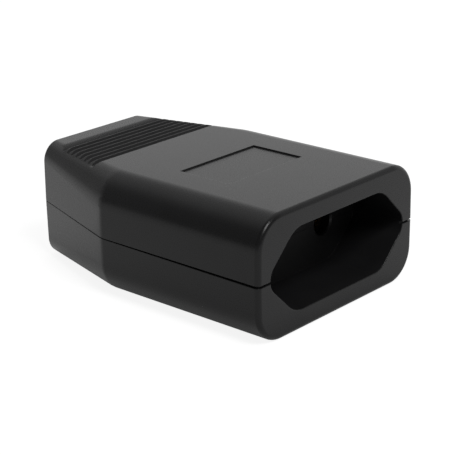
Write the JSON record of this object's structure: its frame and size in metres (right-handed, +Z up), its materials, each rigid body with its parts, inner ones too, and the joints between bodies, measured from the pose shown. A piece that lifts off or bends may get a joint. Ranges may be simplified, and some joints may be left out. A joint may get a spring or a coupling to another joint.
{
  "type": "inline power socket",
  "caption": "Flat inline power socket for a cord's end: moulded half shells with a hexagonal plug recess, sleeve contacts inside, grip grooves and a cord entry in the narrowed rear.",
  "frame": {"origin": "middle of the underside, under the middle of the body's length and width", "axes": "+X across the contacts, +Y along the body from the mouth to the cord entry, +Z up through the label pocket"},
  "size_m": [0.0434, 0.06, 0.0224],
  "materials": {
    "housing": "fine matt moulded texture",
    "contacts": "turned and milled",
    "screws": "bright zinc plated",
    "clamp": "moulded"
  },
  "bodies": {
    "root": {"upper_shell": "housing", "lower_shell": "housing", "contact_left": "contacts", "contact_right": "contacts", "terminal_screws": "screws", "cord_clamp": "clamp", "cord_clamp_screws": "screws", "housing_screw": "screws"}
  },
  "joints": []
}
